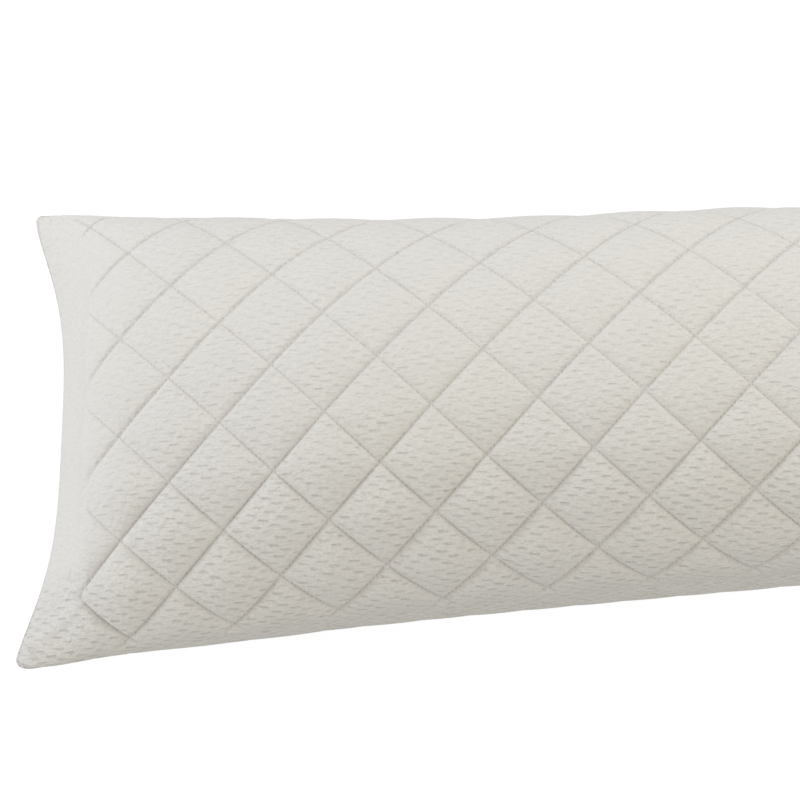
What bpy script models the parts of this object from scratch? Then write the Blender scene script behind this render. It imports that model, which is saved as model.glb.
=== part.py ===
"""A long body pillow in a quilted cover, lying on its back on a level surface.

The cover is two panels of cloth, sewn to each other round their four edges and stuffed full. Both
panels are quilted in diamonds, so the filled solid is drawn in along every stitch line and stands
proud between them. +X runs along the pillow, from the left end to the right one. +Y points from
the front side seam to the back one, and +Z is up. The origin is on the surface, under the middle
of the pillow. Sizes are in millimetres, and the mesh is made in metres.

A place on a panel is given by two lengths measured in the flat cloth: along, from the left end
seam, and across, from the back side seam.
"""

from collections import namedtuple

import bpy
import numpy as np

NODE = "body_pillow"
MM = 0.001

# The cover as it is cut, between its seams: 54 by 20 inches.
LENGTH = 1372.0
WIDTH = 508.0

# The quilting: diamonds of 4 inches from point to point. One crossing of two stitch lines is
# placed, and the others follow from it. The cloth stands out by PUFF in each diamond, and the
# stitching stops at the first crossings from each end, so a band along the end seam is plain.
HALF_DIAMOND = 50.8
CROSSING_ALONG = 9.4
CROSSING_ACROSS = 81.7
PUFF = 6.2
SEAM_FADE = 36.0
PLAIN_BAND = CROSSING_ALONG + HALF_DIAMOND
DOMES_FADE = 80.0

# The mesh has this many steps on each half diamond, so that its edges run along the stitches.
STEPS = 3
STEP = HALF_DIAMOND / STEPS
LEAST_STEP = 5.0

# The stuffed form, one row for each section across the pillow.
#   place       where the section is, along the flat cloth
#   half_width  half the distance between the two side seams
#   seam        height of the side seams above the surface
#   crown       rise of the top panel's middle above the side seams
#   lift        height of the underside's middle above the surface
#   flat        half the width that lies flat on the surface
#   squareness  2 makes the top panel's half section an ellipse, and more makes it boxier
Section = namedtuple("Section", "place half_width seam crown lift flat squareness")
END_SECTIONS = (
    Section(0, 228, 74, 0, 74, 0, 2.00),
    Section(20, 228, 76, 18, 61, 0, 1.98),
    Section(45, 226, 78, 40, 44, 0, 1.96),
    Section(80, 221, 81, 72, 28, 5, 1.93),
    Section(130, 216, 84, 95, 12, 30, 1.88),
    Section(200, 211, 88, 113, 3, 62, 1.84),
    Section(320, 201, 93, 130, 0, 90, 1.84),
)
MIDDLE_SECTIONS = (
    Section(480, 192.4, 96, 134, 0, 104, 1.90),
    Section(686, 185.5, 98, 133, 0, 108, 2.08),
    Section(860, 180.5, 97, 133, 0, 108, 2.20),
)
UNDER_SQUARENESS = 2.3
STITCHES_ABOVE_SURFACE = 1.6

# The side seams run almost straight and are a little shorter than the flat cloth. The middle of
# each end seam is drawn in, and its curve has a long flat middle and soft shoulders.
SIDE_SEAM_SHARE = 0.969
END_CURVE = (3.5, 1.8)

# The left end lies a little askew: its front corner is the lower one, and it reaches further out.
ASKEW_REACH = 306.0
FRONT_CORNER_DROP = 10.0
FRONT_CORNER_OUT = 18.5

# Beyond its middle the pillow lies a little further back: this far, at this place, and it fades
# over this length.
SWAY = 4.2
SWAY_PLACE = 800.0
SWAY_REACH = 260.0

# How far each corner is rounded, by the nearest end seam and side seam.
CORNER_RADII = {
    ("left", "back"): 6.0,
    ("left", "front"): 16.0,
    ("right", "back"): 12.0,
    ("right", "front"): 12.0,
}

CURVE_POINTS = 181
COVER_COLOUR = (0.76, 0.74, 0.69, 1.0)


def remove_startup_objects():
    for thing in list(bpy.data.objects):
        bpy.data.objects.remove(thing)


def all_sections():
    """The rows from end to end: the right end is sewn and filled as the left one is."""
    mirrored = [row._replace(place=LENGTH - row.place) for row in reversed(END_SECTIONS)]
    return [*END_SECTIONS, *MIDDLE_SECTIONS, *mirrored]


def smooth_column(name, places):
    """A column of the table at any places, by a cubic that never swings past the rows' own values.

    Its slope at a row is the harmonic mean of the slopes on both sides, and 0 at a peak or a dip.
    """
    rows = all_sections()
    knots = np.array([row.place for row in rows], float)
    values = np.array([getattr(row, name) for row in rows], float)
    spans = np.diff(knots)
    slopes = np.diff(values) / spans
    left_weight = spans[:-1] + 2 * spans[1:]
    right_weight = 2 * spans[:-1] + spans[1:]
    same_way = slopes[:-1] * slopes[1:] > 0
    before = np.where(same_way, slopes[:-1], 1)
    after = np.where(same_way, slopes[1:], 1)
    mean = (left_weight + right_weight) / (left_weight / before + right_weight / after)
    tangents = np.concatenate([slopes[:1], np.where(same_way, mean, 0), slopes[-1:]])
    k = np.clip(np.searchsorted(knots, places) - 1, 0, len(spans) - 1)
    t = (places - knots[k]) / spans[k]
    bend = spans[k] * (tangents[k] * t * (1 - t) ** 2 - tangents[k + 1] * t**2 * (1 - t))
    return values[k] + (values[k + 1] - values[k]) * t**2 * (3 - 2 * t) + bend


def grid_lines(first, reach):
    """Mesh lines over a panel: its two seams, and every step counted from a line of crossings."""
    count = int(np.ceil(reach / STEP))
    lines = first + STEP * np.arange(-count, count + 1)
    inside = lines[(lines > LEAST_STEP) & (lines < reach - LEAST_STEP)]
    return np.concatenate([[0.0], inside, [reach]])


def run_of(heights, places):
    """How far along the surface the cloth has come, where it also climbs by these heights."""
    climb = np.gradient(heights, places)
    share = np.sqrt(np.clip(1 - climb**2, 0.05, 1))
    steps = (share[1:] + share[:-1]) / 2 * np.diff(places)
    return np.concatenate([[0.0], np.cumsum(steps)])


def half_section(half_width, rise, flat, squareness):
    """Half an oval from the back seam over to the front one, as points (y, height)."""
    turn = np.linspace(0, np.pi / 2, CURVE_POINTS)
    y = flat + (half_width - flat) * np.cos(turn) ** (2 / squareness)
    height = rise * np.sin(turn) ** (2 / squareness)
    return np.concatenate([y, -y[::-1]]), np.concatenate([height, height[::-1]])


def read_by_length(y, height, shares):
    """The points of a curve at these shares of its own length."""
    lengths = np.concatenate([[0.0], np.cumsum(np.hypot(np.diff(y), np.diff(height)))])
    lengths /= lengths[-1]
    return np.interp(shares, lengths, y), np.interp(shares, lengths, height)


def panel_points(side, along, across):
    """The smooth form of the top or bottom panel: one point for each pair of along and across."""
    fine = np.linspace(0, LENGTH, int(LENGTH) + 1)
    column = {name: smooth_column(name, along) for name in Section._fields if name != "place"}
    crown_run = run_of(smooth_column("crown", fine), fine)
    inset = (SIDE_SEAM_SHARE * LENGTH - crown_run[-1]) / 2
    if side == "top":
        run = crown_run
        rise = column["crown"]
        flat = np.zeros(len(along))
        squareness = column["squareness"]
    else:
        belly = smooth_column("seam", fine) - smooth_column("lift", fine)
        run = run_of(belly, fine)
        run *= crown_run[-1] / run[-1]
        on_surface = 1 - column["lift"] / column["seam"]
        rise = -(column["seam"] - column["lift"] - STITCHES_ABOVE_SURFACE * on_surface)
        flat = column["flat"]
        squareness = np.full(len(along), UNDER_SQUARENESS)
    shares = across / WIDTH
    toward_front = 2 * shares - 1
    askew = np.exp(-along / ASKEW_REACH)
    sway = SWAY * np.exp(-(((along - SWAY_PLACE) / SWAY_REACH) ** 2))
    side_x = SIDE_SEAM_SHARE * along
    middle_x = inset + np.interp(along, fine, run)
    power, softness = END_CURVE
    drawn_in = (1 - np.abs(toward_front) ** power) ** softness
    points = np.zeros((len(along), len(across), 3))
    for row in range(len(along)):
        y, height = half_section(column["half_width"][row], rise[row], flat[row], squareness[row])
        y, height = read_by_length(y, height, shares)
        lean = FRONT_CORNER_DROP * askew[row] * y / column["half_width"][row]
        points[row, :, 0] = side_x[row] + (middle_x[row] - side_x[row]) * drawn_in
        points[row, :, 0] -= FRONT_CORNER_OUT * askew[row] * toward_front
        points[row, :, 1] = y + sway[row]
        points[row, :, 2] = column["seam"][row] + height + lean
    return points


def round_corners(points, along, across):
    """Brings the cloth near each corner in, sideways only, so that the seams turn in an arc.

    A square of the corner's radius is squeezed into a quarter disc by u' = u * sqrt(1 - v^2 / 2)
    and v' = v * sqrt(1 - u^2 / 2), where u and v run from 0 to 1 towards the two seams.
    """
    for (end, edge), radius in CORNER_RADII.items():
        from_end = along if end == "left" else LENGTH - along
        from_edge = across if edge == "back" else WIDTH - across
        u = np.clip(1 - from_end / radius, 0, 1)[:, None]
        v = np.clip(1 - from_edge / radius, 0, 1)[None, :]
        inward_x = radius * (u - u * np.sqrt(1 - v**2 / 2))
        inward_y = radius * (v - v * np.sqrt(1 - u**2 / 2))
        points[:, :, 0] += inward_x if end == "left" else -inward_x
        points[:, :, 1] += -inward_y if edge == "back" else inward_y


def smooth_step(share):
    share = np.clip(share, 0, 1)
    return share**2 * (3 - 2 * share)


def quilted_share(along, across):
    """How fully each place is quilted: 0 at the seams and in the plain bands, and 1 inside them.

    A plain band is narrower near the back seam, as 1 - 0.6 exp(-across / 30 mm).
    """
    from_end = np.minimum(along, LENGTH - along)[:, None]
    from_edge = np.minimum(across, WIDTH - across)[None, :]
    band = PLAIN_BAND * (1 - 0.6 * np.exp(-across / 30))[None, :]
    past_band = smooth_step((from_end - band) / DOMES_FADE + 0.5)
    return past_band * (1 - np.exp(-((from_edge / SEAM_FADE) ** 2)))


def fullness(along, across):
    """How full the diamonds are: fuller near the front seam, above all towards the left end."""
    front = smooth_step((across / WIDTH - 0.42) / 0.40)[None, :]
    left = 1 - 0.35 * smooth_step((along - 400) / 350)[:, None]
    return 0.60 + 0.65 * front * left


def puff(along, across):
    """How far the filled cloth stands out of its stitch lines: a rounded cell in every diamond.

    p and q count the two families of stitch lines, and are whole numbers on them. The height is
    |sin(pi p) sin(pi q)| to the power of 0.8.
    """
    u = ((along - CROSSING_ALONG) / HALF_DIAMOND)[:, None]
    v = ((across - CROSSING_ACROSS) / HALF_DIAMOND)[None, :]
    p = (u + v) / 2
    q = (u - v) / 2
    cell = np.abs(np.sin(np.pi * p) * np.sin(np.pi * q)) ** 0.8
    return PUFF * cell * fullness(along, across) * quilted_share(along, across)


def outward(points, side):
    """Unit normals of a grid of points, up on the top panel and down on the bottom one."""
    normals = np.cross(np.gradient(points, axis=1), np.gradient(points, axis=0))
    if side == "bottom":
        normals = -normals
    return normals / np.maximum(np.linalg.norm(normals, axis=2, keepdims=True), 1e-9)


def quilted_panel(side, along, across):
    points = panel_points(side, along, across)
    points += puff(along, across)[:, :, None] * outward(points, side)
    round_corners(points, along, across)
    if side == "bottom":
        points[:, :, 2] = np.maximum(points[:, :, 2], 0)
    return points


def number_points(rows, columns):
    """Vertex numbers of both panels. They share the vertices of the seam all round."""
    top = np.arange(rows * columns).reshape(rows, columns)
    bottom = top.copy()
    inner = (rows - 2) * (columns - 2)
    bottom[1:-1, 1:-1] = rows * columns + np.arange(inner).reshape(rows - 2, columns - 2)
    return top, bottom


def panel_triangles(numbers, along, across, side):
    """Two triangles for each step of the grid, split along the stitches.

    The split at each corner of the panel runs into the corner, so that the two panels have no
    triangle in common.
    """
    back_near, back_far = numbers[:-1, :-1], numbers[1:, :-1]
    front_near, front_far = numbers[:-1, 1:], numbers[1:, 1:]
    mid_along = (along[1:] + along[:-1]) / 2
    mid_across = (across[1:] + across[:-1]) / 2
    i = np.floor((mid_along - CROSSING_ALONG) / HALF_DIAMOND)[:, None]
    j = np.floor((mid_across - CROSSING_ACROSS) / HALF_DIAMOND)[None, :]
    away_from_back = (i + j) % 2 == 0
    away_from_back[[0, -1], [0, -1]] = True
    away_from_back[[0, -1], [-1, 0]] = False
    away_from_back = away_from_back[:, :, None]
    first = np.where(
        away_from_back,
        np.stack([back_near, front_near, front_far], axis=2),
        np.stack([back_near, front_near, back_far], axis=2),
    )
    second = np.where(
        away_from_back,
        np.stack([back_near, front_far, back_far], axis=2),
        np.stack([back_far, front_near, front_far], axis=2),
    )
    triangles = np.concatenate([first.reshape(-1, 3), second.reshape(-1, 3)])
    return triangles if side == "top" else triangles[:, ::-1]


def cover_material():
    material = bpy.data.materials.new("cover")
    material.use_nodes = True
    shader = material.node_tree.nodes["Principled BSDF"]
    shader.inputs["Base Color"].default_value = COVER_COLOUR
    shader.inputs["Roughness"].default_value = 0.9
    shader.inputs["Metallic"].default_value = 0.0
    return material


def body_pillow():
    along = grid_lines(CROSSING_ALONG, LENGTH)
    across = grid_lines(CROSSING_ACROSS, WIDTH)
    top = quilted_panel("top", along, across)
    bottom = quilted_panel("bottom", along, across)
    top_numbers, bottom_numbers = number_points(len(along), len(across))
    points = np.concatenate([top.reshape(-1, 3), bottom[1:-1, 1:-1].reshape(-1, 3)])
    lowest, highest = points.min(axis=0), points.max(axis=0)
    middle = (lowest + highest) / 2
    points -= (middle[0], middle[1], lowest[2])
    triangles = np.concatenate(
        [
            panel_triangles(top_numbers, along, across, "top"),
            panel_triangles(bottom_numbers, along, across, "bottom"),
        ]
    )
    mesh = bpy.data.meshes.new(NODE)
    mesh.from_pydata((points * MM).tolist(), [], triangles.tolist())
    mesh.shade_smooth()
    mesh.materials.append(cover_material())
    pillow = bpy.data.objects.new(NODE, mesh)
    bpy.context.scene.collection.objects.link(pillow)
    return pillow


remove_startup_objects()
body_pillow()
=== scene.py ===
"""The looks of the body pillow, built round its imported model.

The cover is one closed cloth surface over the same form as the solid that it replaces, with finer
quilting, seams and creases, and the quilting thread lies in its channels. A place on a panel is
given by two lengths in metres, measured in the flat cloth: along, from the left end seam, and
across, from the back side seam.
"""

import math
from collections import namedtuple

import bpy
import numpy as np
from mathutils import Matrix, Vector


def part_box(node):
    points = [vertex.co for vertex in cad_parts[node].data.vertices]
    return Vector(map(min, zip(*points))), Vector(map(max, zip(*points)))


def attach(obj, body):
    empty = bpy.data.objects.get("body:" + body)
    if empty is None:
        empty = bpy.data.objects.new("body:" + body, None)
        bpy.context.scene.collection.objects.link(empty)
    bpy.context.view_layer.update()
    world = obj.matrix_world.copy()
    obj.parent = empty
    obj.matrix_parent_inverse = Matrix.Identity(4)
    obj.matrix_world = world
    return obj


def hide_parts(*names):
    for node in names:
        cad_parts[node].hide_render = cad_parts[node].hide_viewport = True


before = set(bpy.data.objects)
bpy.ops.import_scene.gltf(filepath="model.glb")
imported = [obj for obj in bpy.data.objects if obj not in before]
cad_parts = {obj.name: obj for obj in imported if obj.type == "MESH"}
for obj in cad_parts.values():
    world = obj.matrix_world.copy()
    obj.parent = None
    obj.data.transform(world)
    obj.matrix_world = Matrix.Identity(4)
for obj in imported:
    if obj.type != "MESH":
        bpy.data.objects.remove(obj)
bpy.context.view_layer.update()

NODE = "body_pillow"

# ---- the cover's sizes, in metres, as the solid has them ---------------------------------------

LENGTH = 1.372
WIDTH = 0.508
HALF_DIAMOND = 0.0508
CROSSING_ALONG = 0.0094
CROSSING_ACROSS = 0.0817
SEAM_FADE = 0.036
PLAIN_BAND = CROSSING_ALONG + HALF_DIAMOND  # at each end, where nothing is stitched

#   place       where the section is, along the flat cloth
#   half_width  half the distance between the two side seams
#   seam        height of the side seams above the surface
#   crown       rise of the top panel's middle above the side seams
#   lift        height of the underside's middle above the surface
#   flat        half the width that lies flat on the surface
#   squareness  2 makes the top panel's half section an ellipse, and more makes it boxier
Section = namedtuple("Section", "place half_width seam crown lift flat squareness")
END_SECTIONS = (
    Section(0, 0.228, 0.074, 0, 0.074, 0, 2.00),
    Section(0.020, 0.228, 0.076, 0.018, 0.061, 0, 1.98),
    Section(0.045, 0.226, 0.078, 0.040, 0.044, 0, 1.96),
    Section(0.080, 0.221, 0.081, 0.072, 0.028, 0.005, 1.93),
    Section(0.130, 0.216, 0.084, 0.095, 0.012, 0.030, 1.88),
    Section(0.200, 0.211, 0.088, 0.113, 0.003, 0.062, 1.84),
    Section(0.320, 0.201, 0.093, 0.130, 0, 0.090, 1.84),
)
MIDDLE_SECTIONS = (
    Section(0.480, 0.1924, 0.096, 0.134, 0, 0.104, 1.90),
    Section(0.686, 0.1855, 0.098, 0.133, 0, 0.108, 2.08),
    Section(0.860, 0.1805, 0.097, 0.133, 0, 0.108, 2.20),
)
UNDER_SQUARENESS = 2.3
STITCHES_ABOVE_SURFACE = 0.0016
SIDE_SEAM_SHARE = 0.969
END_CURVE = (3.5, 1.8)
ASKEW_REACH = 0.306
FRONT_CORNER_DROP = 0.010
FRONT_CORNER_OUT = 0.0185
SWAY = 0.0042
SWAY_PLACE = 0.800
SWAY_REACH = 0.260
CORNER_RADII = {
    ("left", "back"): 0.006,
    ("left", "front"): 0.016,
    ("right", "back"): 0.012,
    ("right", "front"): 0.012,
}

# ---- the finer form, which only the looks have -------------------------------------------------
#
# On their way to the right, p lines run towards the back seam and q lines towards the front one.

STEPS = 13                 # mesh steps on half a diamond
LEAST_STEP = 0.0012        # no other mesh line lies this close to a seam
DOME_HEIGHT = 0.0062       # the cloth's soft rise over a whole diamond
P_CHANNEL_DEPTH = 0.0024   # and its steep dip into a stitch line
Q_CHANNEL_DEPTH = 0.0014
CHANNEL_REACH = 0.0023
UNEVEN_FILL = 0.18         # how much fuller or slacker one diamond is than another
TIGHT_FILL = 0.0060        # how far the filling bulges where the bottom panel turns under
SEAM_DIP = 0.0011          # how deep the seam lies all round
SEAM_GATHER = 0.00016      # height of each wave in the gathers that run in from the seam

# The creases, as soft ridges, or troughs where the height is below 0, that lie on one panel.
#   along, across   the middle
#   turn            the way that it runs, in degrees from the pillow's length towards the front
#   bow             how far both ends bend towards the front
Crease = namedtuple("Crease", "side along across turn half_length half_width height bow")
CREASES = (
    Crease("top", 0.0545, 0.4175, 8, 0.017, 0.0034, -0.0040, 0.0),
    Crease("top", 0.056, 0.4275, 4, 0.020, 0.0045, 0.0022, 0.0),
    Crease("top", 0.062, 0.3270, -3, 0.016, 0.0032, -0.0016, -0.002),
    Crease("top", 0.084, 0.4611, 45, 0.036, 0.0024, -0.0034, 0.0),
    Crease("top", 0.379, 0.4450, 70, 0.008, 0.0030, 0.0014, 0.004),
    Crease("top", 0.589, 0.4420, 75, 0.009, 0.0030, 0.0013, 0.004),
    Crease("top", 0.452, 0.4560, 115, 0.012, 0.0024, -0.0012, 0.0),
    Crease("top", 0.700, 0.4700, 60, 0.016, 0.0040, -0.0016, 0.003),
    Crease("top", 0.040, 0.4620, 139, 0.034, 0.0070, 0.0030, 0.0),
    Crease("top", 0.082, 0.4660, -12, 0.010, 0.0035, -0.0010, 0.0),
    Crease("top", 0.0205, 0.4935, 40, 0.015, 0.0034, -0.0036, 0.0),
    Crease("top", 0.0245, 0.4890, 40, 0.017, 0.0040, 0.0024, 0.0),
)

# ---- quilting thread ---------------------------------------------------------------------------

STITCH_PITCH = 0.005
STITCH_LENGTH = 0.0038
THREAD_RADIUS = 0.00042

# ---- the knit's repeat: one dash in each slanted cell ------------------------------------------

ROW_TURN = math.radians(6.0)       # how far the rows run off the pillow's length
ROW_PITCH = 0.00611
ROW_SHIFT = 0.00789                # each next row lies this much further back
DASH_PITCH = 0.01840
DASH_TILT = math.radians(8.0)
DASH_TILT_AT_FRONT = 0.05          # added to the tilt's slope near the front
DASH_HALF_WIDTH = 0.0017
DASH_HALF_LENGTH = 0.0068
FIRST_DASH = (0.00716, 0.00749)    # measured along the rows and square to them

# ---- the knit's colours, how far each mark darkens the cloth, and reliefs in metres ------------

IVORY = (0.828, 0.808, 0.770, 1.0)
WARM_IVORY = (0.824, 0.796, 0.714, 1.0)
# SHADE is the colour that painted shade darkens towards; the mottle's random tone also uses it
SHADE = (0.560, 0.530, 0.475, 1.0)
# DASH_DARKNESS is the painted shade in the grooves of the knit's dashes
DASH_DARKNESS = 0.56
MOTTLE_DARKNESS = 0.36
# HOLE_DARKNESS is the painted shade in the needle holes
HOLE_DARKNESS = 0.60
DASH_RELIEF = 0.00080
FLEECE_RELIEF = 0.0012
FLEECE_COUNTS = (190.0, 520.0)     # tufts in a metre along and across
RIPPLE_RELIEF = 0.0022
HOLE_RELIEF = 0.0002
NIP_REACH = 0.0028                 # the fine end of the dip at a stitch line
P_NIP_RELIEF = 0.0010
Q_NIP_RELIEF = 0.0005


def all_sections():
    """The rows from end to end: the right end is sewn and filled as the left one is."""
    mirrored = [row._replace(place=LENGTH - row.place) for row in reversed(END_SECTIONS)]
    return [*END_SECTIONS, *MIDDLE_SECTIONS, *mirrored]


def smooth_column(name, places):
    """A column of the table at any places, by a cubic that never swings past the rows' own values.

    Its slope at a row is the harmonic mean of the slopes on both sides, and 0 at a peak or a dip.
    """
    rows = all_sections()
    knots = np.array([row.place for row in rows], float)
    values = np.array([getattr(row, name) for row in rows], float)
    spans = np.diff(knots)
    slopes = np.diff(values) / spans
    left_weight = spans[:-1] + 2 * spans[1:]
    right_weight = 2 * spans[:-1] + spans[1:]
    same_way = slopes[:-1] * slopes[1:] > 0
    before = np.where(same_way, slopes[:-1], 1)
    after = np.where(same_way, slopes[1:], 1)
    mean = (left_weight + right_weight) / (left_weight / before + right_weight / after)
    tangents = np.concatenate([slopes[:1], np.where(same_way, mean, 0), slopes[-1:]])
    k = np.clip(np.searchsorted(knots, places) - 1, 0, len(spans) - 1)
    t = (places - knots[k]) / spans[k]
    bend = spans[k] * (tangents[k] * t * (1 - t) ** 2 - tangents[k + 1] * t**2 * (1 - t))
    return values[k] + (values[k + 1] - values[k]) * t**2 * (3 - 2 * t) + bend


def grid_lines(first, reach, steps, least):
    """Mesh lines over a panel: its two seams, and every step counted from a line of crossings."""
    step = HALF_DIAMOND / steps
    count = int(np.ceil(reach / step))
    lines = first + step * np.arange(-count, count + 1)
    inside = lines[(lines > least) & (lines < reach - least)]
    return np.concatenate([[0.0], inside, [reach]])


def run_of(heights, places):
    """How far along the surface the cloth has come, where it also climbs by these heights."""
    climb = np.gradient(heights, places)
    share = np.sqrt(np.clip(1 - climb**2, 0.05, 1))
    steps = (share[1:] + share[:-1]) / 2 * np.diff(places)
    return np.concatenate([[0.0], np.cumsum(steps)])


def half_section(half_width, rise, flat, squareness, points=241):
    """Half an oval from the back seam over to the front one, as points (y, height)."""
    turn = np.linspace(0, np.pi / 2, points)
    y = flat + (half_width - flat) * np.cos(turn) ** (2 / squareness)
    height = rise * np.sin(turn) ** (2 / squareness)
    return np.concatenate([y, -y[::-1]]), np.concatenate([height, height[::-1]])


def read_by_length(y, height, shares):
    """The points of a curve at these shares of its own length."""
    lengths = np.concatenate([[0.0], np.cumsum(np.hypot(np.diff(y), np.diff(height)))])
    lengths /= lengths[-1]
    return np.interp(shares, lengths, y), np.interp(shares, lengths, height)


def panel_points(side, along, across):
    """The smooth form of the top or bottom panel: one point for each pair of along and across."""
    fine = np.linspace(0, LENGTH, 1373)
    column = {name: smooth_column(name, along) for name in Section._fields if name != "place"}
    crown_run = run_of(smooth_column("crown", fine), fine)
    inset = (SIDE_SEAM_SHARE * LENGTH - crown_run[-1]) / 2
    if side == "top":
        run = crown_run
        rise = column["crown"]
        flat = np.zeros(len(along))
        squareness = column["squareness"]
    else:
        belly = smooth_column("seam", fine) - smooth_column("lift", fine)
        run = run_of(belly, fine)
        run *= crown_run[-1] / run[-1]
        on_surface = 1 - column["lift"] / column["seam"]
        rise = -(column["seam"] - column["lift"] - STITCHES_ABOVE_SURFACE * on_surface)
        flat = column["flat"]
        squareness = np.full(len(along), UNDER_SQUARENESS)
    shares = across / WIDTH
    toward_front = 2 * shares - 1
    askew = np.exp(-along / ASKEW_REACH)
    sway = SWAY * np.exp(-(((along - SWAY_PLACE) / SWAY_REACH) ** 2))
    side_x = SIDE_SEAM_SHARE * along
    middle_x = inset + np.interp(along, fine, run)
    power, softness = END_CURVE
    drawn_in = (1 - np.abs(toward_front) ** power) ** softness
    points = np.zeros((len(along), len(across), 3))
    for row in range(len(along)):
        y, height = half_section(column["half_width"][row], rise[row], flat[row], squareness[row])
        y, height = read_by_length(y, height, shares)
        lean = FRONT_CORNER_DROP * askew[row] * y / column["half_width"][row]
        points[row, :, 0] = side_x[row] + (middle_x[row] - side_x[row]) * drawn_in
        points[row, :, 0] -= FRONT_CORNER_OUT * askew[row] * toward_front
        points[row, :, 1] = y + sway[row]
        points[row, :, 2] = column["seam"][row] + height + lean
    return points


def round_corners(points, along, across):
    """Brings the cloth near each corner in, sideways only, so that the seams turn in an arc.

    A square of the corner's radius is squeezed into a quarter disc by u' = u * sqrt(1 - v^2 / 2)
    and v' = v * sqrt(1 - u^2 / 2), where u and v run from 0 to 1 towards the two seams.
    """
    for (end, edge), radius in CORNER_RADII.items():
        from_end = along if end == "left" else LENGTH - along
        from_edge = across if edge == "back" else WIDTH - across
        u = np.clip(1 - from_end / radius, 0, 1)[:, None]
        v = np.clip(1 - from_edge / radius, 0, 1)[None, :]
        inward_x = radius * (u - u * np.sqrt(1 - v**2 / 2))
        inward_y = radius * (v - v * np.sqrt(1 - u**2 / 2))
        points[:, :, 0] += inward_x if end == "left" else -inward_x
        points[:, :, 1] += -inward_y if edge == "back" else inward_y


def smooth_step(share):
    share = np.clip(share, 0, 1)
    return share**2 * (3 - 2 * share)


def past_plain_band(along, across, before, fade):
    """0 in the plain bands and 1 inside them. Arrays are given in any shapes that go together.

    It rises over a length of fade, which begins this far before the band's edge. A plain band is
    narrower near the back seam, as 1 - 0.6 exp(-across / 30 mm).
    """
    from_end = np.minimum(along, LENGTH - along)
    band = PLAIN_BAND * (1 - 0.6 * np.exp(-across / 0.030))
    return smooth_step((from_end - band + before) / fade)


def on_crown(across):
    """1 on the crown and 0 near both side seams."""
    return smooth_step((across - 0.060) / 0.080) * smooth_step((0.440 - across) / 0.080)


def quilted_share(along, across):
    """How far the quilting stands out: it also fades towards the two side seams."""
    from_edge = np.minimum(across, WIDTH - across)
    past_band = past_plain_band(along, across, 0.025, 0.075)
    return past_band * (1 - np.exp(-((from_edge / SEAM_FADE) ** 2)))


def turned_under(across):
    """How far the bottom panel's cloth is drawn tight over the filling, where it turns under."""
    from_edge = np.minimum(across, WIDTH - across)
    return 0.85 * smooth_step((0.095 - from_edge) / 0.045)


def stitched_share(along, across):
    """How far the stitch lines draw the cloth in: to within 6 to 18 mm of the side seams."""
    from_edge = np.minimum(across, WIDTH - across)
    past_band = past_plain_band(along, across, 0.013, 0.026 + 0.034 * on_crown(across))
    return past_band * smooth_step((from_edge - 0.006) / 0.012)


def textured_share(along, across):
    """How far the knit's relief stands out, and how much painted shade its dashes and creases get.

    It rises in two steps from the back to the front, and falls to a tenth near the ends, except
    by the front seam.
    """
    from_end = np.minimum(along, LENGTH - along)
    # this share also sets the strength of the painted shade in the dashes and stitch creases
    slack = 0.42 + 0.12 * smooth_step((across - 0.150) / 0.120)
    slack = slack + 0.40 * smooth_step((across - 0.270) / 0.120)
    crown_and_ends = smooth_step((0.450 - across) / 0.060) * smooth_step((0.170 - from_end) / 0.120)
    return slack * (1 - 0.9 * crown_and_ends)


def diamond_counts(along, across):
    """The place counted in stitch lines of both families: p and q are whole on a line."""
    u = ((along - CROSSING_ALONG) / HALF_DIAMOND)[:, None]
    v = ((across - CROSSING_ACROSS) / HALF_DIAMOND)[None, :]
    return (u + v) / 2, (u - v) / 2


def fullness(along, across):
    """How full the diamonds are: fuller near the front seam, above all towards the left end."""
    front = smooth_step((across / WIDTH - 0.42) / 0.40)
    left = 1 - 0.35 * smooth_step((along - 0.400) / 0.350)
    return 0.50 + 0.80 * front * left


def quilting(along, across, seed):
    """Height of the quilted cloth: a dome in each diamond, and a narrow channel at each line.

    The dome is |sin(pi p) sin(pi q)| to the power of 0.8. A channel is exp(-distance / reach),
    and q lines stop short of the deeper p lines that they cross. The channels are deeper near the
    front, p lines are shallower near the back, and near the ends q lines are slack on the crown.
    Each diamond is filled a little differently.
    """
    p, q = diamond_counts(along, across)
    line_gap = HALF_DIAMOND * math.sqrt(2)
    to_p = np.abs(p - np.round(p)) * line_gap
    to_q = np.abs(q - np.round(q)) * line_gap
    p_line = np.exp(-to_p / CHANNEL_REACH)
    q_line = np.exp(-to_q / CHANNEL_REACH) * (1 - p_line)
    dome = np.abs(np.sin(np.pi * p) * np.sin(np.pi * q)) ** 0.8
    chance = np.random.default_rng(seed).uniform(-1, 1, (80, 80))
    fill = 1 + UNEVEN_FILL * chance[np.floor(p).astype(int) % 80, np.floor(q).astype(int) % 80]
    across, along = across[None, :], along[:, None]
    domes = DOME_HEIGHT * dome * fill * fullness(along, across) * quilted_share(along, across)
    from_end = np.minimum(along, LENGTH - along)
    taut = 1 - 0.75 * on_crown(across) * smooth_step((0.200 - from_end) / 0.100)
    front = smooth_step((across - 0.270) / 0.100)
    back = smooth_step((0.240 - across) / 0.160)
    channels = P_CHANNEL_DEPTH * (1 + 0.6 * front - 0.5 * back) * p_line
    channels = channels + Q_CHANNEL_DEPTH * (1 + 1.1 * front) * q_line * taut
    return domes - channels * stitched_share(along, across)


def creases(side, along, across):
    """The panel's creases: each is height * exp(-(w / half_width)^2 - (s / half_length)^4).

    s runs along the crease and w across it, both from its middle.
    """
    total = np.zeros((len(along), len(across)))
    for crease in CREASES:
        if crease.side != side:
            continue
        turn = math.radians(crease.turn)
        off_along = (along - crease.along)[:, None]
        off_across = (across - crease.across)[None, :]
        s = (off_along * math.cos(turn) + off_across * math.sin(turn)) / crease.half_length
        w = off_across * math.cos(turn) - off_along * math.sin(turn) - crease.bow * s**2
        total += crease.height * np.exp(-((w / crease.half_width) ** 2) - s**4)
    return total


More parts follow.
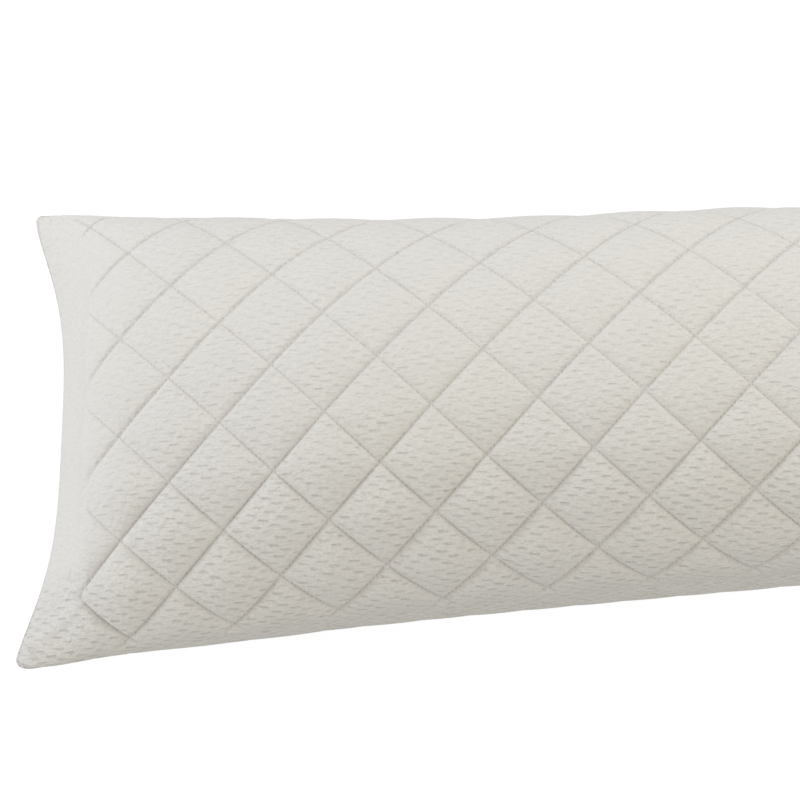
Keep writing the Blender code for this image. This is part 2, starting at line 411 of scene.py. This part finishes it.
def seam_pull(along, across):
    """The dip at the seam all round, and the small gathers that run in from it.

    The dip is exp(-(distance / 4 mm)^2). The gathers are three sine waves along the seam, which
    grow to their full height 7 mm in from the seam and then die away.
    """
    total = np.zeros((len(along), len(across)))
    for lines, far, turned in ((along, LENGTH, False), (across, WIDTH, True)):
        other = across if not turned else along
        reach = WIDTH if not turned else LENGTH
        from_seam = np.minimum(other, reach - other)
        dip = -SEAM_DIP * np.exp(-((from_seam / 0.004) ** 2))
        fade = from_seam / 0.007 * np.exp(1 - from_seam / 0.007)
        wave = np.sin(lines / 0.0031) + np.sin(lines / 0.0047 + 1.0) + np.sin(lines / 0.0023 + 2.0)
        wave *= np.sin(np.pi * lines / far) ** 0.5
        pull = np.outer(wave, SEAM_GATHER * fade) + dip
        total += pull if not turned else pull.T
    return total


def outward(points, side):
    """Unit normals of a grid of points, up on the top panel and down on the bottom one."""
    normals = np.cross(np.gradient(points, axis=1), np.gradient(points, axis=0))
    if side == "bottom":
        normals = -normals
    return normals / np.maximum(np.linalg.norm(normals, axis=2, keepdims=True), 1e-12)


def number_points(rows, columns):
    """Vertex numbers of both panels. They share the vertices of the seam all round."""
    top = np.arange(rows * columns).reshape(rows, columns)
    bottom = top.copy()
    inner = (rows - 2) * (columns - 2)
    bottom[1:-1, 1:-1] = rows * columns + np.arange(inner).reshape(rows - 2, columns - 2)
    return top, bottom


def grid_triangles(along, across):
    """Two triangles for each step, split along the stitches, as grid places (row, column).

    The split at each corner of the panel runs into the corner, so that the two panels have no
    triangle in common.
    """
    rows, columns = np.meshgrid(
        np.arange(len(along) - 1), np.arange(len(across) - 1), indexing="ij"
    )
    mid_along = (along[1:] + along[:-1]) / 2
    mid_across = (across[1:] + across[:-1]) / 2
    i = np.floor((mid_along - CROSSING_ALONG) / HALF_DIAMOND)[:, None]
    j = np.floor((mid_across - CROSSING_ACROSS) / HALF_DIAMOND)[None, :]
    falling = (i + j) % 2 == 0
    falling[[0, -1], [0, -1]] = True
    falling[[0, -1], [-1, 0]] = False
    falling = falling[:, :, None, None]
    corner = np.stack([rows, columns], axis=2)
    back_near, front_near = corner, corner + (0, 1)
    back_far, front_far = corner + (1, 0), corner + (1, 1)
    first = np.where(
        falling,
        np.stack([back_near, front_near, front_far], axis=2),
        np.stack([back_near, front_near, back_far], axis=2),
    )
    second = np.where(
        falling,
        np.stack([back_near, front_far, back_far], axis=2),
        np.stack([back_far, front_near, front_far], axis=2),
    )
    return np.concatenate([first.reshape(-1, 3, 2), second.reshape(-1, 3, 2)])


def mesh_object(name, points, faces, material):
    """An object at the origin from arrays of points and of equal-sized faces, shaded smooth."""
    mesh = bpy.data.meshes.new(name)
    mesh.vertices.add(len(points))
    mesh.vertices.foreach_set("co", points.astype(np.float32).ravel())
    mesh.loops.add(faces.size)
    mesh.loops.foreach_set("vertex_index", faces.astype(np.int32).ravel())
    mesh.polygons.add(len(faces))
    starts = np.arange(len(faces), dtype=np.int32) * faces.shape[1]
    mesh.polygons.foreach_set("loop_start", starts)
    mesh.update(calc_edges=True)
    mesh.validate()
    mesh.shade_smooth()
    mesh.materials.append(material)
    thing = bpy.data.objects.new(name, mesh)
    bpy.context.scene.collection.objects.link(thing)
    return thing


def cover_panels():
    """Both panels of the cover as grids of points, centred on the solid's own box."""
    along = grid_lines(CROSSING_ALONG, LENGTH, STEPS, LEAST_STEP)
    across = grid_lines(CROSSING_ACROSS, WIDTH, STEPS, LEAST_STEP)
    panels = {}
    for side, seed in (("top", 3), ("bottom", 4)):
        points = panel_points(side, along, across)
        height = quilting(along, across, seed)
        if side == "bottom":
            tight = turned_under(across)
            height *= 1 - tight
            height += TIGHT_FILL * tight * quilted_share(along[:, None], across[None, :])
        height += creases(side, along, across) + seam_pull(along, across)
        points += height[:, :, None] * outward(points, side)
        round_corners(points, along, across)
        if side == "bottom":
            points[:, :, 2] = np.maximum(points[:, :, 2], 0)
        panels[side] = points
    both = np.concatenate([panels["top"].reshape(-1, 3), panels["bottom"].reshape(-1, 3)])
    lowest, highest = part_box(NODE)
    middle = (both.min(axis=0) + both.max(axis=0)) / 2
    shift = np.array((lowest + highest) / 2) - middle
    shift[2] = 0
    for points in panels.values():
        points += shift
    return along, across, panels


def quilted_cover(along, across, panels, material):
    """The closed cloth surface, with its UV map and the two shares that its material reads.

    The UV map holds along and across, in metres, and the bottom panel's across runs past WIDTH.
    """
    top_numbers, bottom_numbers = number_points(len(along), len(across))
    points = np.concatenate(
        [panels["top"].reshape(-1, 3), panels["bottom"][1:-1, 1:-1].reshape(-1, 3)]
    )
    corners = grid_triangles(along, across)
    rows, columns = corners[:, :, 0], corners[:, :, 1]
    faces = np.concatenate([top_numbers[rows, columns], bottom_numbers[rows, columns][:, ::-1]])
    cover = mesh_object("quilted_cover", points, faces, material)
    flat = np.stack([along[rows], across[columns]], axis=2)
    under = np.stack([along[rows], across[columns] + WIDTH], axis=2)[:, ::-1]
    layer = cover.data.uv_layers.new(name="panel")
    layer.data.foreach_set("uv", np.concatenate([flat, under]).astype(np.float32).ravel())
    for name, rule in (("stitched", stitched_share), ("textured", textured_share)):
        share = rule(along[:, None], across[None, :])
        values = np.concatenate([share.ravel(), share[1:-1, 1:-1].ravel()])
        attribute = cover.data.attributes.new(name, "FLOAT", "POINT")
        attribute.data.foreach_set("value", values.astype(np.float32))
    return cover


# ---- materials ---------------------------------------------------------------------------------


class Graph:
    """A material's nodes, with short ways to add a calculation."""

    def __init__(self, name):
        self.material = bpy.data.materials.new(name)
        self.material.use_nodes = True
        self.nodes = self.material.node_tree.nodes
        self.links = self.material.node_tree.links
        self.shader = self.nodes["Principled BSDF"]

    def add(self, kind, settings=None, **inputs):
        node = self.nodes.new(kind)
        for key, value in (settings or {}).items():
            setattr(node, key, value)
        for key, value in inputs.items():
            self.feed(node.inputs[key.replace("_", " ")], value)
        return node

    def feed(self, socket, value):
        if isinstance(value, bpy.types.NodeSocket):
            self.links.new(value, socket)
        else:
            socket.default_value = value

    def math(self, operation, *values):
        node = self.nodes.new("ShaderNodeMath")
        node.operation = operation
        for socket, value in zip(node.inputs, values):
            self.feed(socket, value)
        return node.outputs[0]

    def vector(self, x, y, z=0.0):
        return self.add("ShaderNodeCombineXYZ", X=x, Y=y, Z=z).outputs[0]

    def noise(self, vector, scale, detail=2.0):
        node = self.add("ShaderNodeTexNoise", Vector=vector, Scale=scale, Detail=detail)
        return node.outputs["Fac"]

    def smooth_range(self, value, low, high):
        """0 below low and 1 above high, with soft ends."""
        node = self.add(
            "ShaderNodeMapRange",
            {"interpolation_type": "SMOOTHSTEP"},
            Value=value,
            From_Min=low,
            From_Max=high,
        )
        return node.outputs[0]

    def blend(self, share, first, second):
        node = self.nodes.new("ShaderNodeMix")
        node.data_type = "RGBA"
        self.feed(node.inputs["Factor"], share)
        self.feed(node.inputs[6], first)
        self.feed(node.inputs[7], second)
        return node.outputs[2]


def to_stitch_lines(graph, along, across):
    """Distances in metres to the nearest p line and q line, from the place on the panel."""
    u = graph.math("DIVIDE", graph.math("SUBTRACT", along, CROSSING_ALONG), HALF_DIAMOND)
    v = graph.math("DIVIDE", graph.math("SUBTRACT", across, CROSSING_ACROSS), HALF_DIAMOND)
    gaps = []
    for count in (graph.math("ADD", u, v), graph.math("SUBTRACT", u, v)):
        half = graph.math("MULTIPLY", count, 0.5)
        off = graph.math("ABSOLUTE", graph.math("SUBTRACT", half, graph.math("ROUND", half)))
        gaps.append(graph.math("MULTIPLY", off, HALF_DIAMOND * math.sqrt(2)))
    return gaps


def knit_dashes(graph, along, across, wander):
    """The knit's dashes, from 0 to 1: grooves, sunk as relief and given painted shade.
    Each is deeper and darker at its left end and of its own strength.

    With e and n measured along the rows and square to them, a place is in row n / ROW_PITCH and
    at dash (e + row * ROW_SHIFT) / DASH_PITCH, both rounded. s and w are what is left over, the
    distances from the dash's middle. The dashes lie flatter near the front, where the cloth turns
    down.
    """
    cos, sin = math.cos(ROW_TURN), math.sin(ROW_TURN)
    e = graph.math("SUBTRACT", graph.math("MULTIPLY", along, cos), FIRST_DASH[0])
    e = graph.math("SUBTRACT", e, graph.math("MULTIPLY", across, sin))
    n = graph.math("SUBTRACT", graph.math("MULTIPLY", along, sin), FIRST_DASH[1])
    n = graph.math("ADD", n, graph.math("MULTIPLY", across, cos))
    n = graph.math("ADD", n, graph.math("MULTIPLY", wander, 0.0030))
    row_count = graph.math("DIVIDE", n, ROW_PITCH)
    row = graph.math("ROUND", row_count)
    dash_count = graph.math("ADD", e, graph.math("MULTIPLY", row, ROW_SHIFT))
    dash_count = graph.math("DIVIDE", dash_count, DASH_PITCH)
    dash = graph.math("ROUND", dash_count)
    s = graph.math("MULTIPLY", graph.math("SUBTRACT", dash_count, dash), DASH_PITCH)
    w = graph.math("MULTIPLY", graph.math("SUBTRACT", row_count, row), ROW_PITCH)
    drawn = graph.smooth_range(across, 0.200, 0.420)
    drawn = graph.math("MULTIPLY", drawn, DASH_TILT_AT_FRONT)
    tilt = graph.math("ADD", drawn, math.tan(DASH_TILT))
    w = graph.math("SUBTRACT", w, graph.math("MULTIPLY", s, tilt))
    thin = graph.smooth_range(graph.math("ABSOLUTE", w), DASH_HALF_WIDTH, 0.0)
    long = graph.smooth_range(graph.math("ABSOLUTE", s), DASH_HALF_LENGTH, 0.0030)
    chance = graph.add(
        "ShaderNodeTexWhiteNoise", {"noise_dimensions": "2D"}, Vector=graph.vector(row, dash)
    )
    strength = graph.smooth_range(chance.outputs["Value"], -0.7, 1.0)
    strength = graph.math("SUBTRACT", strength, graph.math("MULTIPLY", s, 30.0))
    return graph.math("MULTIPLY", graph.math("MULTIPLY", thin, long), strength)


def knit_material():
    """Ivory jacquard knit: dashes in slanted rows, a fine fleece, and stitch lines with painted
    shade.

    Near a stitch line the dashes are pulled flat, the cloth dips in a last fine nip, and needle
    holes lie between the stitches.
    """
    graph = Graph("ivory_quilted_knit")
    place = graph.add("ShaderNodeUVMap", {"uv_map": "panel"}).outputs[0]
    parts = graph.add("ShaderNodeSeparateXYZ", Vector=place)
    along, across = parts.outputs["X"], parts.outputs["Y"]
    wander = graph.math("SUBTRACT", graph.noise(place, 45.0, 2.0), 0.5)
    dashes = knit_dashes(graph, along, across, wander)
    fleece_place = graph.vector(
        graph.math("MULTIPLY", along, FLEECE_COUNTS[0]),
        graph.math("MULTIPLY", across, FLEECE_COUNTS[1]),
    )
    fleece = graph.noise(fleece_place, 1.0, 2.0)
    p_gap, q_gap = to_stitch_lines(graph, along, across)
    gap = graph.math("MINIMUM", p_gap, q_gap)
    stitched = graph.add("ShaderNodeAttribute", {"attribute_name": "stitched"}).outputs["Fac"]
    textured = graph.add("ShaderNodeAttribute", {"attribute_name": "textured"}).outputs["Fac"]
    pulled_flat = graph.math("SUBTRACT", 1.0, graph.math("MULTIPLY", stitched, 0.9))
    pulled_flat = graph.math("MAXIMUM", pulled_flat, graph.smooth_range(gap, 0.0010, 0.0045))
    dashes = graph.math("MULTIPLY", dashes, graph.math("MULTIPLY", textured, pulled_flat))
    ripple = graph.noise(place, 150.0, 2.0)
    uneven = graph.smooth_range(graph.noise(place, 330.0, 2.0), 0.25, 0.65)
    # crease: where painted shade falls along the stitch lines, unevenly
    crease = graph.math("MULTIPLY", graph.smooth_range(gap, 0.0012, 0.0003), stitched)
    crease = graph.math("MULTIPLY", crease, uneven)
    stitch_count = graph.math("SUBTRACT", along, CROSSING_ALONG)
    stitch_count = graph.math("MULTIPLY", stitch_count, math.sqrt(2) / STITCH_PITCH)
    from_stitch = graph.math(
        "ABSOLUTE", graph.math("SUBTRACT", stitch_count, graph.math("ROUND", stitch_count))
    )
    # hole: painted shade in the needle holes between the stitches, which are also sunk a little as
    # relief
    hole = graph.math("MULTIPLY", graph.smooth_range(from_stitch, 0.26, 0.44), crease)
    cloth = graph.blend(graph.noise(place, 5.0, 2.0), IVORY, WARM_IVORY)
    # painted shade in the grooves of the knit's dashes, on top of their relief
    cloth = graph.blend(graph.math("MULTIPLY", dashes, DASH_DARKNESS), cloth, SHADE)
    mottle = graph.math("MULTIPLY", graph.smooth_range(fleece, 0.3, 0.8), textured)
    cloth = graph.blend(graph.math("MULTIPLY", mottle, MOTTLE_DARKNESS), cloth, SHADE)
    # painted shade in the stitch creases, stronger where the knit's relief stands out
    drawn_in = graph.math("ADD", graph.math("MULTIPLY", textured, 0.24), 0.06)
    cloth = graph.blend(graph.math("MULTIPLY", crease, drawn_in), cloth, SHADE)
    # painted shade in the needle holes
    cloth = graph.blend(graph.math("MULTIPLY", hole, HOLE_DARKNESS), cloth, SHADE)
    graph.feed(graph.shader.inputs["Base Color"], cloth)
    height = graph.math("MULTIPLY", dashes, -DASH_RELIEF)
    relief = graph.math("ADD", graph.math("MULTIPLY", textured, 0.6), 0.4)
    relief = graph.math("MULTIPLY", relief, FLEECE_RELIEF)
    height = graph.math("ADD", height, graph.math("MULTIPLY", fleece, relief))
    height = graph.math("ADD", height, graph.math("MULTIPLY", ripple, RIPPLE_RELIEF))
    height = graph.math("ADD", height, graph.math("MULTIPLY", hole, -HOLE_RELIEF))
    nip = graph.math("MULTIPLY", graph.smooth_range(p_gap, NIP_REACH, 0.0), -P_NIP_RELIEF)
    q_nip = graph.math("MULTIPLY", graph.smooth_range(q_gap, NIP_REACH, 0.0), -Q_NIP_RELIEF)
    nip = graph.math("MULTIPLY", graph.math("MINIMUM", nip, q_nip), stitched)
    height = graph.math("ADD", height, nip)
    bump = graph.add("ShaderNodeBump", Strength=1.0, Distance=1.0, Height=height)
    graph.feed(graph.shader.inputs["Normal"], bump.outputs[0])
    graph.shader.inputs["Roughness"].default_value = 0.85
    graph.shader.inputs["Specular IOR Level"].default_value = 0.25
    graph.shader.inputs["Sheen Weight"].default_value = 0.25
    graph.shader.inputs["Sheen Roughness"].default_value = 0.5
    return graph.material


def thread_material():
    """Ivory polyester thread, a little glossier than the knit, with slightly uneven dye."""
    graph = Graph("ivory_thread")
    spot = graph.add("ShaderNodeTexCoord").outputs["Object"]
    tone = graph.noise(spot, 180.0, 2.0)
    colour = graph.blend(tone, (0.76, 0.74, 0.69, 1.0), (0.84, 0.82, 0.78, 1.0))
    graph.feed(graph.shader.inputs["Base Color"], colour)
    twist = graph.noise(spot, 2600.0, 1.0)
    height = graph.math("MULTIPLY", twist, 0.0001)
    bump = graph.add("ShaderNodeBump", Strength=1.0, Distance=1.0, Height=height)
    graph.feed(graph.shader.inputs["Normal"], bump.outputs[0])
    graph.shader.inputs["Roughness"].default_value = 0.55
    return graph.material


# ---- quilting thread ---------------------------------------------------------------------------


def stitch_places(along, across):
    """Middles of all stitches on one panel, as places in grid steps, and the way that each runs.

    A stitch line is u - v = 2 n or u + v = 2 n, where u and v count half diamonds from a crossing.
    A stitch is centred on each crossing, and none is made where the stitching has faded out.
    """
    step = HALF_DIAMOND / STEPS
    first_row = int(np.argmin(np.abs(along - CROSSING_ALONG)))
    first_column = int(np.argmin(np.abs(across - CROSSING_ACROSS)))
    pitch = STITCH_PITCH / (step * math.sqrt(2))
    reach = len(along) + len(across)
    walk = pitch * np.arange(-int(reach / pitch), int(reach / pitch) + 1)
    places, ways = [], []
    for way in (1, -1):
        for n in range(-40, 41):
            row = first_row + walk
            column = first_column + way * (walk - 2 * n * STEPS)
            inside = (row > 2) & (row < len(along) - 3) & (column > 2) & (column < len(across) - 3)
            place_along = np.interp(row, np.arange(len(along)), along)
            place_across = np.interp(column, np.arange(len(across)), across)
            inside &= stitched_share(place_along, place_across) > 0.4
            places.append(np.stack([row[inside], column[inside]], axis=1))
            ways.append(np.full(inside.sum(), way))
    return np.concatenate(places), np.concatenate(ways)


def on_stitch_line(grid, places, ways):
    """Values of a grid at places on the stitch lines, read along the mesh edges that lie on them."""
    row = np.floor(places[:, 0]).astype(int)
    part = (places[:, 0] - row)[:, None]
    column = np.where(ways > 0, np.floor(places[:, 1] + 1e-9), np.ceil(places[:, 1] - 1e-9))
    column = column.astype(int)
    return grid[row, column] * (1 - part) + grid[row + 1, column + ways] * part


def quilting_thread(along, across, panels, material):
    """Every stitch of the quilting: a thin spindle that rises from its needle hole and dips again.

    Along a stitch, s runs from -1 to 1. Its middle line is (1 - s^2) above the channel's floor,
    and its radius is sqrt(1 - s^4) of the thread's.
    """
    step = HALF_DIAMOND / STEPS
    half = STITCH_LENGTH / 2 / (step * math.sqrt(2))
    rings = np.array([-0.75, 0.0, 0.75])
    around = np.arange(4) * np.pi / 2 + np.pi / 4
    all_points, all_faces = [], []
    count = 0
    for side in ("top", "bottom"):
        points = panels[side]
        normals = outward(points, side)
        places, ways = stitch_places(along, across)
        path = np.stack([np.ones(len(ways)), ways], axis=1)
        shape = []
        for s in (-1.0, *rings, 1.0):
            spot = places + s * half * path
            centre = on_stitch_line(points, spot, ways)
            normal = on_stitch_line(normals, places, ways)
            centre = centre + normal * THREAD_RADIUS * (0.9 - 1.6 * s**2)
            shape.append(centre)
        run = shape[-1] - shape[0]
        run /= np.linalg.norm(run, axis=1, keepdims=True)
        sideways = np.cross(run, normal)
        sideways /= np.maximum(np.linalg.norm(sideways, axis=1, keepdims=True), 1e-12)
        up = np.cross(sideways, run)
        body = [shape[0][:, None]]
        for s, centre in zip(rings, shape[1:-1]):
            radius = THREAD_RADIUS * math.sqrt(1 - s**4)
            ring = centre[:, None] + radius * (
                np.cos(around)[None, :, None] * sideways[:, None]
                + np.sin(around)[None, :, None] * up[:, None]
            )
            body.append(ring)
        body.append(shape[-1][:, None])
        stitches = np.concatenate(body, axis=1)
        if side == "bottom":
            stitches[:, :, 2] = np.maximum(stitches[:, :, 2], 0.0)
        faces = []
        for k in range(4):
            m = (k + 1) % 4
            faces.append((0, 1 + m, 1 + k))
            for ring in (1, 5):
                faces.append((ring + k, ring + m, ring + 4 + m))
                faces.append((ring + k, ring + 4 + m, ring + 4 + k))
            faces.append((9 + k, 9 + m, 13))
        base = count + 14 * np.arange(len(stitches))
        all_faces.append((base[:, None, None] + np.array(faces)[None]).reshape(-1, 3))
        all_points.append(stitches.reshape(-1, 3))
        count += 14 * len(stitches)
    return mesh_object(
        "quilting_thread", np.concatenate(all_points), np.concatenate(all_faces), material
    )


# ---- stage -------------------------------------------------------------------------------------

CAMERA_TILT = math.radians(18.0)    # from straight above, towards the front
CAMERA_TURN = math.radians(-0.5)    # towards the right end
CAMERA_ROLL = math.radians(2.9)
CAMERA_DISTANCE = 7.0
CAMERA_LENS = 326.3
AIM_FROM_LEFT = 0.3464              # the point that the camera is set out from
AIM_HEIGHT = 0.125
SLIDE_RIGHT = 0.0154                # and how far it then slides in its own plane
SLIDE_UP = 0.0075
LIGHT_DISTANCE = 3.0
LIGHT_SIZE = 1.6
FLOOR_HALF_SIZE = 12.0


def point_at(thing, place, target):
    direction = np.array(target, float) - np.array(place, float)
    thing.location = place
    thing.rotation_mode = "QUATERNION"
    thing.rotation_quaternion = Vector(direction).to_track_quat("-Z", "Y")


def camera(left_end_x):
    """The photograph's viewpoint: set out from a point by the left end, then slid sideways."""
    back = Vector(
        (
            math.sin(CAMERA_TURN) * math.cos(CAMERA_TILT),
            -math.sin(CAMERA_TILT),
            math.cos(CAMERA_TURN) * math.cos(CAMERA_TILT),
        )
    ).normalized()
    up = (Vector((0, 1, 0)) - back * back.y).normalized()
    right = up.cross(back)
    view_right = right * math.cos(CAMERA_ROLL) - up * math.sin(CAMERA_ROLL)
    view_up = right * math.sin(CAMERA_ROLL) + up * math.cos(CAMERA_ROLL)
    aim = Vector((left_end_x + AIM_FROM_LEFT, 0, AIM_HEIGHT))
    place = aim + back * CAMERA_DISTANCE + view_right * SLIDE_RIGHT + view_up * SLIDE_UP
    lens = bpy.data.cameras.new("camera")
    lens.lens = CAMERA_LENS
    lens.sensor_width = 36.0
    lens.clip_end = 100.0
    thing = bpy.data.objects.new("camera", lens)
    turn = Matrix((view_right, view_up, back)).transposed()
    thing.matrix_world = Matrix.Translation(place) @ turn.to_4x4()
    bpy.context.scene.collection.objects.link(thing)
    bpy.context.scene.camera = thing


def soft_light(name, place, width, height, power, colour):
    light = bpy.data.lights.new(name, "AREA")
    light.shape = "RECTANGLE"
    light.size = width
    light.size_y = height
    light.energy = power
    light.color = colour
    thing = bpy.data.objects.new(name, light)
    point_at(thing, place, (0, 0, 0.1))
    bpy.context.scene.collection.objects.link(thing)


def far_place(azimuth, elevation):
    """A place at the lights' distance from the origin, with its angles in degrees."""
    azimuth, elevation = math.radians(azimuth), math.radians(elevation)
    level = LIGHT_DISTANCE * math.cos(elevation)
    height = LIGHT_DISTANCE * math.sin(elevation)
    return level * math.cos(azimuth), level * math.sin(azimuth), height


def floor(name, height, base, glow):
    """A plain level square round the origin, which also glows a little by itself."""
    graph = Graph(name)
    graph.shader.inputs["Base Color"].default_value = (base, base, base, 1.0)
    graph.shader.inputs["Roughness"].default_value = 1.0
    graph.shader.inputs["Specular IOR Level"].default_value = 0.0
    graph.shader.inputs["Emission Color"].default_value = (1.0, 1.0, 1.0, 1.0)
    graph.shader.inputs["Emission Strength"].default_value = glow
    corners = FLOOR_HALF_SIZE * np.array([(-1, -1, 0), (1, -1, 0), (1, 1, 0), (-1, 1, 0)])
    corners[:, 2] = height
    thing = mesh_object(name, corners, np.array([[0, 1, 2, 3]]), graph.material)
    return thing


def studio():
    """Plain soft light from the left, front, right and back, and a pale floor.

    The floor that the camera sees lights nothing, and the floor that lights the pillow's sides
    from below is unseen.
    """
    scene = bpy.context.scene
    world = bpy.data.worlds.new("studio")
    world.use_nodes = True
    background = world.node_tree.nodes["Background"]
    background.inputs["Color"].default_value = (1.0, 0.996, 0.993, 1.0)
    background.inputs["Strength"].default_value = 0.595
    scene.world = world
    scene.view_settings.view_transform = "Standard"
    for name, azimuth, elevation, power, colour in (
        ("left", 180, 15, 19.8, (0.845, 0.885, 1.0)),
        ("front_left", 225, 15, 4.2, (1.0, 0.915, 0.810)),
        ("front_right", 315, 25, 4.0, (1.0, 0.960, 0.860)),
        ("right", 0, 45, 13.5, (1.0, 0.945, 0.800)),
    ):
        soft_light(name, far_place(azimuth, elevation), LIGHT_SIZE, LIGHT_SIZE, power, colour)
    soft_light("back_strip", (0, 1.0, 0.9), 3.2, 0.4, 7.05, (0.883, 0.912, 1.0))
    seen = floor("pale_floor", 0.0, 0.10, 0.95)
    seen.visible_diffuse = False
    seen.visible_shadow = False
    bounce = floor("floor_bounce", -0.001, 0.45, 0.08)
    bounce.visible_camera = False


# ---- the part ----------------------------------------------------------------------------------

along, across, panels = cover_panels()
cover = quilted_cover(along, across, panels, knit_material())
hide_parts(NODE)
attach(cover, "root")

thread = quilting_thread(along, across, panels, thread_material())
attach(thread, "root")

left_end_x = float((panels["top"][0, 0, 0] + panels["top"][0, -1, 0]) / 2)
camera(left_end_x)
studio()
